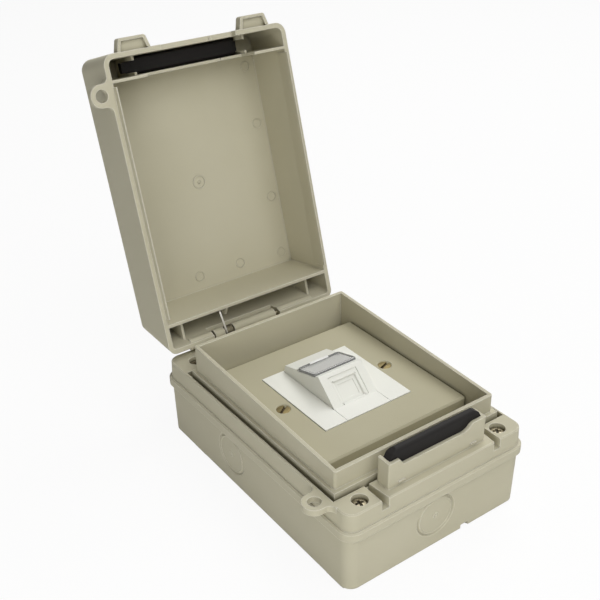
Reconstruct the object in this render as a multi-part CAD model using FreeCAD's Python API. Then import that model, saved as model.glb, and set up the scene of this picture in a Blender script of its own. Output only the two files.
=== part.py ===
import FreeCAD
import Part
import math
import os

# Weatherproof single-gang ethernet socket box, lying on its wall face with the lid open.
# Millimetres. The origin is the middle of the wall face, +Z points away from the wall,
# +Y points to the hinge and -Y to the cable entry.

# Box and cover, outside
BOX_WIDTH = 100.0
BOX_LENGTH = 146.0
CORNER_RADIUS = 5.5
WALL = 2.5
SIDE_DRAFT = 0.4
FOOT_HEIGHT = 0.4
FLANGE_OVERHANG = 1.5
RIM_STEP = 1.2
SKIRT_GAP = 0.2

# Heights above the wall
FLANGE_BOTTOM = 28.0
FLANGE_TOP = 32.3
RIM_TOP = 30.5
SHELF = 32.0
DECK_BOTTOM = 33.6
DECK_TOP = 36.0
GROOVE_FLOOR = 36.2
COVER_TOP = 41.0
LEDGE_TOP = 42.6
PLATE_FACE = 43.5
MODULE_FACE = 43.9
COLLAR_FRONT_TOP = 51.4
COLLAR_BACK_TOP = 56.4
POCKET_TOP = 53.8

# Collar, ledge and seal groove, seen from above
COLLAR_HALF = 44.9
COLLAR_FRONT = -57.2
COLLAR_BACK = 52.9
COLLAR_WALL = 1.7
LEDGE_HALF = 46.7
LEDGE_FRONT = -59.2
LEDGE_BACK = 53.9
GROOVE = 1.9
LIP_GAP = 0.4

# Cover screws in the corner pads
SCREW_X = 39.3
SCREW_FRONT = -66.4
SCREW_BACK = 62.5
SCREW_SEAT = 37.2
SCREW_RECESS_RADIUS = 3.7
SHANK_WIDTH = 3.6

# Cable-entry pocket on its platform, a little off the middle
ENTRY_X = 1.0
PAD_INNER = 33.7
PLATFORM_BACK_HALF = 31.0
PLATFORM_FRONT_HALF = 29.8
POCKET_HALF = 27.4
POCKET_BACK = -61.7
POCKET_FRONT = -69.0
POCKET_FLOOR = 43.2
POCKET_WALL = 1.6

# Padlock ears on cover and lid
EAR_X = -54.6
EAR_Y = -56.3
EAR_RADIUS = 5.4
EAR_HOLE_RADIUS = 3.0
EAR_THICKNESS = 3.0
EAR_FLARE = 3.0

# Faceplate and its screws, the standard single-gang size
PLATE_SIZE = 86.0
PLATE_SCREW_SPACING = 60.3
MODULE_SIZE = 50.0
MODULE_SKIN = 2.6
TONGUE_BOTTOM = 35.0

# Hinge
HINGE_Y = 71.5
HINGE_Z = 45.0
BARREL_RADIUS = 3.0
PIN_RADIUS = 1.5
PIN_CLEARANCE = 0.05
PIN_HALF_LENGTH = 37.3
LID_BARRELS = [(-37.5, -24.6), (15.8, 37.5)]
COVER_KNUCKLES = [(-23.4, -17.8), (-12.0, 13.5)]
LID_OPEN_ANGLE = 106.0

# Lid, as it lies when shut
LID_RIM = 41.4
LID_DEPTH = 32.0
LID_HALF = 50.3
LID_FRONT = -74.0
LID_BACK = 72.5
LID_WALL = 2.4
LID_FLOOR = 2.2
LID_DRAFT = 1.0
LID_END_SLANT = 8.0
LID_BACK_RADIUS = 4.0
LIP_REACH = 2.4
PARTITION = 1.3
PARTITION_Y = -61.5
PARTITION_RECESS = 13.0
HINGE_PARTITION_Y = 57.9

# Sloped nose of the outlet module, in the plane across X
NOSE_HALF = 12.45
NOSE_APEX = (-3.0, 55.1)
NOSE_FOOT = (-15.2, MODULE_FACE)
NOSE_BACK_TOP = (23.4, 47.6)
NOSE_BACK_FOOT = (24.2, MODULE_FACE)

# Frame of the sloped face: u runs up the slope from the middle of the shutter, depth runs inwards.
SLOPE_RUN = NOSE_APEX[0] - NOSE_FOOT[0]
SLOPE_RISE = NOSE_APEX[1] - NOSE_FOOT[1]
SLOPE_LENGTH = math.hypot(SLOPE_RUN, SLOPE_RISE)
UP_SLOPE = (SLOPE_RUN / SLOPE_LENGTH, SLOPE_RISE / SLOPE_LENGTH)
INWARD = (UP_SLOPE[1], -UP_SLOPE[0])
SHUTTER_CENTRE = 6.4
SHUTTER_MIDDLE = (
    NOSE_FOOT[0] + UP_SLOPE[0] * SHUTTER_CENTRE,
    NOSE_FOOT[1] + UP_SLOPE[1] * SHUTTER_CENTRE,
)

# Wall-fixing holes in the floor
FIXING_X = 35.0
FIXING_Y = 45.0
FIXING_HOLE_RADIUS = 2.5

# Cable knock-outs in the box walls
KNOCKOUT_RADIUS = 10.2
KNOCKOUT_GROOVE = 0.7
KNOCKOUT_DEPTH = 0.8
KNOCKOUT_Z = 17.2
KNOCKOUT_SIDE_Y = 15.5
KNOCKOUT_END_X = -2.0

# Brass inserts for the faceplate screws
INSERT_BOTTOM = 27.5
INSERT_WIDTH = 4.8
PLATE_SHANK_WIDTH = 3.2

# Outlet internals, measured on and behind the sloped face
NOSE_UP = SLOPE_LENGTH - SHUTTER_CENTRE - 2.0
SHUTTER_HALF_X = 7.2
SPRING_X = 9.3
SPRING_DEPTH = 4.6
JACK_HALF = 7.7
JACK_FRONT = 2.8
JACK_BACK = 19.8
BOARD = 1.6
LABEL_BACK = 0.36
LABEL_FRONT = 0.92

# Cable seals, as depths into the lid from its rim and as a height
SEAL_FACE = 17.0
SEAL_BACK = 25.0
SEAL_TOP = 58.0
SEAL_TIP_FRONT = -68.9
SEAL_TIP_BACK = -63.9

V = FreeCAD.Vector


def block(x0, x1, y0, y1, z0, z1):
    """Box between two corners."""
    return Part.makeBox(x1 - x0, y1 - y0, z1 - z0, V(x0, y0, z0))


def rod(start, end, radius):
    """Round bar between two points."""
    along = end - start
    return Part.makeCylinder(radius, along.Length, start, along)


def square_bar(start, end, half):
    """Square bar between two points."""
    along = end - start
    bar = Part.makeBox(2 * half, 2 * half, along.Length, V(-half, -half, 0))
    bar.Placement = FreeCAD.Placement(start, FreeCAD.Rotation(V(0, 0, 1), along))
    return bar


def post(x, y, z0, z1, radius):
    """Upright round bar."""
    return Part.makeCylinder(radius, z1 - z0, V(x, y, z0))


def outline(x0, x1, y0, y1, z, front_radius, back_radius):
    """Rounded rectangle as a closed wire, with its own radius at each end."""
    corners = [
        (x1, y0, front_radius, -90.0),
        (x1, y1, back_radius, 0.0),
        (x0, y1, back_radius, 90.0),
        (x0, y0, front_radius, 180.0),
    ]
    edges = []
    arcs = []
    for x, y, radius, start in corners:
        cx = x - radius if x == x1 else x + radius
        cy = y + radius if y == y0 else y - radius
        centre = V(cx, cy, z)
        points = []
        for step in (0.0, 45.0, 90.0):
            angle = math.radians(start + step)
            points.append(centre + V(radius * math.cos(angle), radius * math.sin(angle), 0))
        arcs.append(points)
    for index, points in enumerate(arcs):
        following = arcs[(index + 1) % len(arcs)]
        edges.append(Part.Arc(points[0], points[1], points[2]).toShape())
        edges.append(Part.LineSegment(points[2], following[0]).toShape())
    return Part.Wire(edges)


def centred_outline(half_x, half_y, z, radius):
    return outline(-half_x, half_x, -half_y, half_y, z, radius, radius)


def hexagon(x, y, z0, z1, across_flats):
    """Upright six-sided bar."""
    radius = across_flats / math.sqrt(3)
    points = []
    for side in range(6):
        angle = math.radians(60 * side)
        points.append((x + radius * math.cos(angle), y + radius * math.sin(angle)))
    return upright(points, z0, z1)


def faceted(loops):
    """Solid closed by flat faces, each given by its loop of corners."""
    faces = [Part.Face(Part.makePolygon(loop + loop[:1])) for loop in loops]
    solid = Part.Solid(Part.Shell(faces))
    if solid.Volume < 0:
        solid.reverse()
    return solid


def flat_cone(x, y, z0, z1, radius0, radius1, sides):
    """Upright cone in flat sides."""
    low = []
    high = []
    for side in range(sides):
        angle = 2 * math.pi * side / sides
        outward = V(math.cos(angle), math.sin(angle), 0)
        low.append(V(x, y, z0) + outward * radius0)
        high.append(V(x, y, z1) + outward * radius1)
    loops = [low, high]
    for side in range(sides):
        following = (side + 1) % sides
        loops.append([low[side], low[following], high[following], high[side]])
    return faceted(loops)


def prism(wire, height):
    return Part.Face(wire).extrude(V(0, 0, height))


def across(points, x0, x1):
    """Profile of (y, z) points carried along X."""
    corners = [V(x0, y, z) for y, z in points]
    return Part.Face(Part.makePolygon(corners + corners[:1])).extrude(V(x1 - x0, 0, 0))


def along_y(points, y0, y1):
    """Profile of (x, z) points carried along Y."""
    corners = [V(x, y0, z) for x, z in points]
    return Part.Face(Part.makePolygon(corners + corners[:1])).extrude(V(0, y1 - y0, 0))


def upright(points, z0, z1):
    """Profile of (x, y) points carried along Z."""
    corners = [V(x, y, z0) for x, y in points]
    return Part.Face(Part.makePolygon(corners + corners[:1])).extrude(V(0, 0, z1 - z0))


def frustum(low, high, z0, z1, front_radius, back_radius):
    """Drafted block with rounded corners; low and high are (x0, x1, y0, y1) at its two levels."""
    far = 500.0
    x_profile = [(low[0], z0), (low[1], z0), (high[1], z1), (high[0], z1)]
    y_profile = [(low[2], z0), (low[3], z0), (high[3], z1), (high[2], z1)]
    body = along_y(x_profile, -far, far).common(across(y_profile, -far, far))
    middle = (low[2] + low[3]) / 2
    for side, radius in ((-1, front_radius), (1, back_radius)):
        corners = []
        for edge in body.Edges:
            if edge.BoundBox.ZLength > 0.99 * (z1 - z0) and side * (edge.CenterOfMass.y - middle) > 0:
                corners.append(edge)
        body = body.makeFillet(radius, corners)
    return body


def centred(half_x, half_y):
    """Limits of a rectangle about the origin."""
    return (-half_x, half_x, -half_y, half_y)


def edges_at(shape, z):
    """Edges that lie in the level plane at z."""
    found = []
    for edge in shape.Edges:
        box = edge.BoundBox
        if abs(box.ZMin - z) < 1e-6 and abs(box.ZMax - z) < 1e-6:
            found.append(edge)
    return found


def upright_edges(shape):
    """Straight edges that run along Z."""
    found = []
    for edge in shape.Edges:
        box = edge.BoundBox
        if box.XLength < 1e-6 and box.YLength < 1e-6:
            found.append(edge)
    return found


def swing_open(shape):
    """Turn a piece of the shut lid to where it rests when open."""
    shape.rotate(V(0, HINGE_Y, HINGE_Z), V(1, 0, 0), -LID_OPEN_ANGLE)
    return shape


def cover_screw_places():
    places = []
    for x in (-SCREW_X, SCREW_X):
        for y in (SCREW_FRONT, SCREW_BACK):
            places.append((x, y))
    return places


def plate_screw_places():
    return [-PLATE_SCREW_SPACING / 2, PLATE_SCREW_SPACING / 2]


def back_box():
    """Drafted box with screw bosses, wall-fixing holes, knock-outs, low feet and a drain notch."""
    half_x = BOX_WIDTH / 2
    half_y = BOX_LENGTH / 2
    body = frustum(
        centred(half_x - SIDE_DRAFT, half_y - SIDE_DRAFT),
        centred(half_x, half_y),
        FOOT_HEIGHT,
        FLANGE_BOTTOM,
        CORNER_RADIUS,
        CORNER_RADIUS,
    )

    rim = centred_outline(half_x - RIM_STEP, half_y - RIM_STEP, FLANGE_BOTTOM - 1, CORNER_RADIUS - RIM_STEP)
    body = body.fuse(prism(rim, RIM_TOP - FLANGE_BOTTOM + 1))

    floor = FOOT_HEIGHT + WALL
    inner_radius = CORNER_RADIUS - WALL
    cavity = frustum(
        centred(half_x - SIDE_DRAFT - WALL, half_y - SIDE_DRAFT - WALL),
        centred(half_x - WALL, half_y - WALL),
        floor,
        RIM_TOP,
        inner_radius,
        inner_radius,
    )
    body = body.cut(cavity)

    # Bosses that take the cover screws, with six-sided pilot holes.
    boss_half = 4.2
    boss_top = 29.5
    pilot_bottom = 8.0
    into_wall = 1.3
    envelope = prism(centred_outline(half_x - into_wall, half_y - into_wall, 0, CORNER_RADIUS), RIM_TOP)
    for x, y in cover_screw_places():
        boss = block(x - boss_half, x + boss_half, y - boss_half, y + boss_half, FOOT_HEIGHT + 1, boss_top)
        body = body.fuse(boss.common(envelope))
    for x, y in cover_screw_places():
        body = body.cut(hexagon(x, y, pilot_bottom, boss_top + 1, SHANK_WIDTH + 0.1))

    # The back stands proud of the walls' lower edge, and comes out to it at four places along the sides.
    back_inset = SIDE_DRAFT + 1.2
    foot_inset = SIDE_DRAFT + 0.15
    foot_spans = [(-69.0, -57.5), (41.0, 51.5)]
    back_outline = centred_outline(half_x - back_inset, half_y - back_inset, 0, CORNER_RADIUS - back_inset)
    foot_outline = centred_outline(half_x - foot_inset, half_y - foot_inset, 0, CORNER_RADIUS - foot_inset)
    back = prism(back_outline, FOOT_HEIGHT + 1)
    edge = prism(foot_outline, FOOT_HEIGHT + 0.5)
    for y0, y1 in foot_spans:
        back = back.fuse(block(-half_x, half_x, y0, y1, 0, FOOT_HEIGHT + 0.5).common(edge))
    body = body.fuse(back)

    # Wall-fixing holes through the back.
    for x in (-FIXING_X, FIXING_X):
        for y in (-FIXING_Y, FIXING_Y):
            body = body.cut(post(x, y, -1, floor + 1, FIXING_HOLE_RADIUS))

    # Drain notch in the lower edge at the cable-entry end.
    drain_left = 14.3
    drain_right = 18.8
    drain_depth = 2.4
    drain_top = FOOT_HEIGHT + 2.0
    body = body.cut(block(drain_left, drain_right, -half_y, -half_y + drain_depth, -1, drain_top))

    # Knock-outs: ring grooves, tilted with the draft of the wall that carries them.
    out = 0.4
    flare = KNOCKOUT_GROOVE * (KNOCKOUT_DEPTH + out) / KNOCKOUT_DEPTH
    section = [
        V(-KNOCKOUT_DEPTH, KNOCKOUT_RADIUS, 0),
        V(out, KNOCKOUT_RADIUS - flare, 0),
        V(out, KNOCKOUT_RADIUS + flare, 0),
    ]
    ring = Part.Face(Part.makePolygon(section + section[:1])).revolve(V(0, 0, 0), V(1, 0, 0), 360)
    tilt = math.degrees(math.atan(SIDE_DRAFT / (FLANGE_BOTTOM - FOOT_HEIGHT)))
    setback = SIDE_DRAFT * (FLANGE_BOTTOM - KNOCKOUT_Z) / (FLANGE_BOTTOM - FOOT_HEIGHT)
    for turn, place in (
        (0, V(half_x - setback, KNOCKOUT_SIDE_Y, KNOCKOUT_Z)),
        (180, V(-half_x + setback, KNOCKOUT_SIDE_Y, KNOCKOUT_Z)),
        (-90, V(KNOCKOUT_END_X, -half_y + setback, KNOCKOUT_Z)),
        (90, V(KNOCKOUT_END_X, half_y - setback, KNOCKOUT_Z)),
    ):
        cutter = ring.copy()
        cutter.rotate(V(0, 0, 0), V(0, 1, 0), tilt)
        cutter.rotate(V(0, 0, 0), V(0, 0, 1), turn)
        cutter.translate(place)
        body = body.cut(cutter)
    return body.removeSplitter()


def box_gasket():
    """Loop of rubber between the box rim and the shelf inside the cover's skirt."""
    inset = RIM_STEP + 0.05
    outer = centred_outline(BOX_WIDTH / 2 - inset, BOX_LENGTH / 2 - inset, RIM_TOP, CORNER_RADIUS - inset)
    inner = centred_outline(BOX_WIDTH / 2 - WALL, BOX_LENGTH / 2 - WALL, RIM_TOP, CORNER_RADIUS - WALL)
    height = SHELF - RIM_TOP
    return prism(outer, height).cut(prism(inner, height))


def groove_loop(inset, z0, z1):
    """Rectangular loop that fills the seal groove, set in from the groove's sides by inset."""
    far = GROOVE - inset
    outer = block(-LEDGE_HALF - far, LEDGE_HALF + far, LEDGE_FRONT - far, LEDGE_BACK + far, z0, z1)
    inner = block(
        -LEDGE_HALF - inset, LEDGE_HALF + inset, LEDGE_FRONT - inset, LEDGE_BACK + inset, z0, z1
    )
    return outer.cut(inner)


def ear_plate(wall_x, z0):
    """Padlock ear flaring out of a side wall, without its hole."""
    x = EAR_X
    r = EAR_RADIUS
    f = EAR_FLARE
    root = wall_x + 1.2
    bend = f * (1 - math.sqrt(0.5))
    top = EAR_Y + r
    bottom = EAR_Y - r
    points = [V(root, bottom - f, z0), V(wall_x, bottom - f, z0)]
    points.append(V(wall_x - bend, bottom - bend, z0))
    points.append(V(wall_x - f, bottom, z0))
    points += [V(x, bottom, z0), V(x - r, EAR_Y, z0), V(x, top, z0)]
    points.append(V(wall_x - f, top, z0))
    points.append(V(wall_x - bend, top + bend, z0))
    points += [V(wall_x, top + f, z0), V(root, top + f, z0)]
    edges = [
        Part.LineSegment(points[0], points[1]).toShape(),
        Part.Arc(points[1], points[2], points[3]).toShape(),
        Part.LineSegment(points[3], points[4]).toShape(),
        Part.Arc(points[4], points[5], points[6]).toShape(),
        Part.LineSegment(points[6], points[7]).toShape(),
        Part.Arc(points[7], points[8], points[9]).toShape(),
        Part.LineSegment(points[9], points[10]).toShape(),
        Part.LineSegment(points[10], points[0]).toShape(),
    ]
    return prism(Part.Wire(edges), EAR_THICKNESS)


def cable_pocket():
    """Open-topped holder of the entry seal, with the cable notch in its front wall."""
    left = ENTRY_X - POCKET_HALF
    right = ENTRY_X + POCKET_HALF
    inner_left = left + POCKET_WALL
    inner_right = right - POCKET_WALL
    inner_back = POCKET_BACK - POCKET_WALL
    inner_front = POCKET_FRONT + POCKET_WALL
    over = POCKET_TOP + 1
    pocket = block(left, right, POCKET_FRONT, POCKET_BACK, COVER_TOP - 1, POCKET_TOP)
    pocket = pocket.makeFillet(0.6, upright_edges(pocket))
    pocket = pocket.cut(block(inner_left, inner_right, inner_front, inner_back, POCKET_FLOOR, over))
    back_wall_top = 52.0
    pocket = pocket.cut(block(inner_left, inner_right, inner_back - 1, POCKET_BACK + 1, back_wall_top, over))
    # The notch has a steep left end and an S-shaped right end.
    notch_floor = POCKET_TOP - 3.0
    notch_left = -20.4
    notch_left_foot = -18.5
    notch_right_foot = 13.0
    notch_bend = (18.6, 1.3)
    notch_right = 21.8
    before = POCKET_FRONT - 1
    s_low = V(notch_right_foot, before, notch_floor)
    s_mid = V(notch_bend[0], before, notch_floor + notch_bend[1])
    s_high = V(notch_right, before, POCKET_TOP)
    swell = V(0.5, 0, -0.5)
    corners = [
        s_high,
        V(notch_right, before, over),
        V(notch_left, before, over),
        V(notch_left, before, POCKET_TOP),
        V(notch_left_foot, before, notch_floor),
        s_low,
    ]
    edges = []
    for here, there in zip(corners[:-1], corners[1:]):
        edges.append(Part.LineSegment(here, there).toShape())
    edges.append(Part.Arc(s_low, (s_low + s_mid) * 0.5 + swell, s_mid).toShape())
    edges.append(Part.Arc(s_mid, (s_mid + s_high) * 0.5 - swell * 0.6, s_high).toShape())
    notch = Part.Face(Part.Wire(edges)).extrude(V(0, POCKET_WALL + 2, 0))
    pocket = pocket.cut(notch)
    # Two low pips at the foot of the front wall.
    pip_half = 1.8
    pip_from_end = 7.0
    pip_proud = 0.5
    pip_bottom = 42.4
    pip_top = 43.3
    for x in (left + pip_from_end, right - pip_from_end):
        pip_front = POCKET_FRONT - pip_proud
        pip = block(x - pip_half, x + pip_half, pip_front, POCKET_FRONT + 1, pip_bottom, pip_top)
        pocket = pocket.fuse(pip)
    return pocket


def hinge_knuckle(x0, x1):
    """Barrel of the cover on its post, which runs down the back wall as a gusset."""
    front = HINGE_Y - BARREL_RADIUS
    back = HINGE_Y + BARREL_RADIUS
    inside = BOX_LENGTH / 2 - 1
    root = COVER_TOP - 0.5
    gusset_foot = COVER_TOP - 5
    profile = [
        (front, HINGE_Z),
        (front, root),
        (inside, root),
        (inside, gusset_foot),
        (back, COVER_TOP),
        (back, HINGE_Z),
    ]
    barrel = rod(V(x0, HINGE_Y, HINGE_Z), V(x1, HINGE_Y, HINGE_Z), BARREL_RADIUS)
    return across(profile, x0, x1).fuse(barrel)


def axle_bore():
    """Cutter for the hinge pin's bore through the knuckles."""
    return rod(V(-BOX_WIDTH, HINGE_Y, HINGE_Z), V(BOX_WIDTH, HINGE_Y, HINGE_Z), PIN_RADIUS + PIN_CLEARANCE)


def lid_stop(x0, x1):
    """Gusset behind the hinge on which the open lid's end wall comes to rest."""
    back = HINGE_Y + BARREL_RADIUS
    reach = back + 5.0
    stop_top = 44.4
    stop_nose = 43.0
    stop_foot = 40.5
    profile = [
        (HINGE_Y, stop_foot),
        (HINGE_Y, stop_top),
        (reach, stop_top),
        (reach, stop_nose),
        (back, stop_foot),
    ]
    return across(profile, x0, x1)


def cover_frame():
    """Upper moulding: skirt, pads, seal groove, collar, faceplate deck, cable pocket and hinge."""
    half_x = BOX_WIDTH / 2
    half_y = BOX_LENGTH / 2
    flange_x = half_x + FLANGE_OVERHANG
    flange_y = half_y + FLANGE_OVERHANG
    flange = prism(
        centred_outline(flange_x, flange_y, FLANGE_BOTTOM, CORNER_RADIUS + FLANGE_OVERHANG),
        FLANGE_TOP - FLANGE_BOTTOM,
    )
    flange = flange.makeChamfer(0.7, edges_at(flange, FLANGE_TOP))
    lean = 0.2
    walls = frustum(
        centred(half_x + lean, half_y + lean),
        centred(half_x - lean, half_y - lean),
        FLANGE_BOTTOM + 1,
        COVER_TOP,
        CORNER_RADIUS,
        CORNER_RADIUS,
    )
    walls = walls.makeChamfer(0.5, edges_at(walls, COVER_TOP))
    body = walls.fuse(flange)

    # Seal groove round the ledge, and the slots between the pads and the platform.
    body = body.cut(groove_loop(0, GROOVE_FLOOR, COVER_TOP + 1))
    front = LEDGE_FRONT - GROOVE
    for side in (-1, 1):
        slot = [
            (ENTRY_X + side * PAD_INNER, front),
            (ENTRY_X + side * PAD_INNER, -half_y - 1),
            (ENTRY_X + side * PLATFORM_FRONT_HALF, -half_y - 1),
            (ENTRY_X + side * PLATFORM_BACK_HALF, front),
        ]
        body = body.cut(upright(slot, GROOVE_FLOOR, COVER_TOP + 1))

    # Ledge and collar. The collar's rim rises towards the hinge.
    body = body.fuse(block(-LEDGE_HALF, LEDGE_HALF, LEDGE_FRONT, LEDGE_BACK, DECK_TOP, LEDGE_TOP))
    collar = across(
        [
            (COLLAR_FRONT, DECK_TOP),
            (COLLAR_FRONT, COLLAR_FRONT_TOP),
            (COLLAR_BACK, COLLAR_BACK_TOP),
            (COLLAR_BACK, DECK_TOP),
        ],
        -COLLAR_HALF,
        COLLAR_HALF,
    )
    collar = collar.makeFillet(1.2, upright_edges(collar))
    body = body.fuse(collar)
    well_half = COLLAR_HALF - COLLAR_WALL
    well_front = COLLAR_FRONT + COLLAR_WALL
    well_back = COLLAR_BACK - COLLAR_WALL
    body = body.cut(block(-well_half, well_half, well_front, well_back, DECK_TOP, COLLAR_BACK_TOP + 1))

    # Underside: the skirt's rebate over the box rim, the hollow below the deck and the cored pads.
    step = RIM_STEP - SKIRT_GAP
    rebate = centred_outline(half_x - step, half_y - step, FLANGE_BOTTOM - 1, CORNER_RADIUS - step)
    body = body.cut(prism(rebate, SHELF - FLANGE_BOTTOM + 1))
    hollow = centred_outline(half_x - WALL, half_y - WALL, FLANGE_BOTTOM - 1, CORNER_RADIUS - WALL)
    body = body.cut(prism(hollow, DECK_BOTTOM - FLANGE_BOTTOM + 1))
    core_top = COVER_TOP - 2.3
    front_core_half = 27.6
    front_core_back = -63.4
    back_core_half = 33.0
    back_core_front = 58.5
    body = body.cut(
        block(-front_core_half, front_core_half, -half_y + WALL, front_core_back, DECK_BOTTOM - 1, core_top)
    )
    body = body.cut(
        block(-back_core_half, back_core_half, back_core_front, half_y - WALL, DECK_BOTTOM - 1, core_top)
    )

    # Window in the deck for the outlet, with the two lugs that carry the faceplate inserts.
    opening = 36.0
    body = body.cut(block(-opening, opening, -opening, opening, DECK_BOTTOM - 1, DECK_TOP + 1))
    lug_half = 6.0
    lug_inner = 25.0
    for x in plate_screw_places():
        side = math.copysign(1, x)
        ends = sorted((side * lug_inner, side * (opening + 1)))
        body = body.fuse(block(ends[0], ends[1], -lug_half, lug_half, DECK_BOTTOM, DECK_TOP))
        seat = INSERT_WIDTH / 2 + 2.2
        body = body.fuse(block(x - seat, x + seat, -seat, seat, INSERT_BOTTOM, DECK_TOP))
    for x in plate_screw_places():
        body = body.cut(hexagon(x, 0, INSERT_BOTTOM - 1, DECK_TOP + 1, INSERT_WIDTH + 0.05))

    # Cover screws: bosses below, recesses above.
    boss_bottom = 29.7
    boss_half = 5.0
    boss_front = -half_y + WALL + 0.8
    for x, y in cover_screw_places():
        y0 = max(y - boss_half, boss_front)
        body = body.fuse(block(x - boss_half, x + boss_half, y0, y + boss_half, boss_bottom, SCREW_SEAT))
    for x, y in cover_screw_places():
        body = body.cut(post(x, y, SCREW_SEAT, COVER_TOP + 1, SCREW_RECESS_RADIUS))
        body = body.cut(hexagon(x, y, boss_bottom - 1, SCREW_SEAT + 1, SHANK_WIDTH + 0.6))

    body = body.fuse(cable_pocket())

    # Padlock ear level with the pads.
    body = body.fuse(ear_plate(-half_x, COVER_TOP - EAR_THICKNESS))
    body = body.cut(post(EAR_X, EAR_Y, COVER_TOP - EAR_THICKNESS - 1, COVER_TOP + 1, EAR_HOLE_RADIUS))

    # Hinge knuckles and the stops of the open lid.
    for x0, x1 in COVER_KNUCKLES:
        body = body.fuse(hinge_knuckle(x0, x1))
    stop_places = [-8.0, 9.0]
    stop_half = 1.5
    for x in stop_places:
        body = body.fuse(lid_stop(x - stop_half, x + stop_half))
    return body.cut(axle_bore()).removeSplitter()


def rim_seal():
    """Rubber cord lying in the seal groove, below the lid's lip."""
    cord_gap = 0.2
    cord_height = 2.4
    return groove_loop(cord_gap, GROOVE_FLOOR, GROOVE_FLOOR + cord_height)


def cross_recess(x, y, top, size, depth):
    """Cutter for a cross drive in a screw head."""
    arm = size * 0.3
    one = block(x - size, x + size, y - arm, y + arm, top - depth, top + 1)
    two = block(x - arm, x + arm, y - size, y + size, top - depth, top + 1)
    return one.fuse(two)


def cover_screws():
    """Four cross-head screws down the corner recesses, with six-sided shanks."""
    head_radius = 3.3
    head_height = 2.3
    tip = 12.0
    drive_size = 2.0
    drive_depth = 1.3
    head_top = SCREW_SEAT + head_height
    screws = []
    for x, y in cover_screw_places():
        head = post(x, y, SCREW_SEAT, head_top, head_radius)
        screw = head.fuse(hexagon(x, y, tip, SCREW_SEAT + 1, SHANK_WIDTH))
        screws.append(screw.cut(cross_recess(x, y, head_top, drive_size, drive_depth)).removeSplitter())
    return Part.makeCompound(screws)


def faceplate():
    """Square plate with soft edges, hollow behind, with the module window and two screw holes."""
    half = PLATE_SIZE / 2
    plate = block(-half, half, -half, half, DECK_TOP, PLATE_FACE)
    plate = plate.makeFillet(1.5, upright_edges(plate))
    plate = plate.makeChamfer(0.9, edges_at(plate, PLATE_FACE))
    wall = 2.2
    skin = 2.6
    inner = half - wall
    plate = plate.cut(block(-inner, inner, -inner, inner, DECK_TOP - 1, PLATE_FACE - skin))
    # A frame round the module window steadies the modules.
    window = MODULE_SIZE / 2 + 0.1
    frame = window + 1.6
    plate = plate.fuse(block(-frame, frame, -frame, frame, DECK_TOP + 1.5, PLATE_FACE - skin))
    plate = plate.cut(block(-window, window, -window, window, DECK_TOP, PLATE_FACE + 1))
    pillar = 3.2
    hole_radius = 1.95
    sink_radius = 3.7
    sink_depth = 1.9
    for x in plate_screw_places():
        plate = plate.fuse(block(x - pillar, x + pillar, -pillar, pillar, DECK_TOP, PLATE_FACE - skin))
    for x in plate_screw_places():
        plate = plate.cut(post(x, 0, DECK_TOP - 1, PLATE_FACE + 1, hole_radius))
        sink = Part.makeCone(hole_radius, sink_radius, sink_depth, V(x, 0, PLATE_FACE - sink_depth))
        plate = plate.cut(sink)
    return plate.removeSplitter()


def faceplate_screws():
    """Two countersunk screws, with heads in flat sides and six-sided shanks."""
    head_radius = 3.3
    neck_radius = 1.7
    head_height = 1.6
    head_sides = 18
    top = PLATE_FACE - 0.3
    under_head = top - head_height
    screws = []
    for x in plate_screw_places():
        head = flat_cone(x, 0, under_head, top, neck_radius, head_radius, head_sides)
        shank = hexagon(x, 0, INSERT_BOTTOM - 3, under_head + 0.2, PLATE_SHANK_WIDTH)
        screws.append(head.fuse(shank).removeSplitter())
    return Part.makeCompound(screws)


def faceplate_inserts():
    """Six-sided brass threaded bushes in the deck lugs."""
    inserts = []
    for x in plate_screw_places():
        bush = hexagon(x, 0, INSERT_BOTTOM, DECK_TOP - 0.1, INSERT_WIDTH)
        bore = hexagon(x, 0, INSERT_BOTTOM - 1, DECK_TOP + 1, PLATE_SHANK_WIDTH + 0.1)
        inserts.append(bush.cut(bore))
    return Part.makeCompound(inserts)


def nose_point(u, depth):
    """(y, z) of a place on or behind the sloped face."""
    y = SHUTTER_MIDDLE[0] + UP_SLOPE[0] * u + INWARD[0] * depth
    z = SHUTTER_MIDDLE[1] + UP_SLOPE[1] * u + INWARD[1] * depth
    return (y, z)


def nose_block(x0, x1, u0, u1, d0, d1):
    """Box set square to the sloped face."""
    corners = [nose_point(u0, d0), nose_point(u1, d0), nose_point(u1, d1), nose_point(u0, d1)]
    return across(corners, x0, x1)


def roof_point(part, below):
    """(y, z) on the roof of the nose, from back (0) to apex (1), set in by below."""
    run = NOSE_APEX[0] - NOSE_BACK_TOP[0]
    rise = NOSE_APEX[1] - NOSE_BACK_TOP[1]
    length = math.hypot(run, rise)
    y = NOSE_BACK_TOP[0] + run * part + rise / length * below
    z = NOSE_BACK_TOP[1] + rise * part + run / length * below
    return (y, z)


def roof_block(x0, x1, part0, part1, below0, below1):
    """Box set square to the roof of the nose."""
    corners = [
        roof_point(part0, below0),
        roof_point(part1, below0),
        roof_point(part1, below1),
        roof_point(part0, below1),
    ]
    return across(corners, x0, x1)


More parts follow.
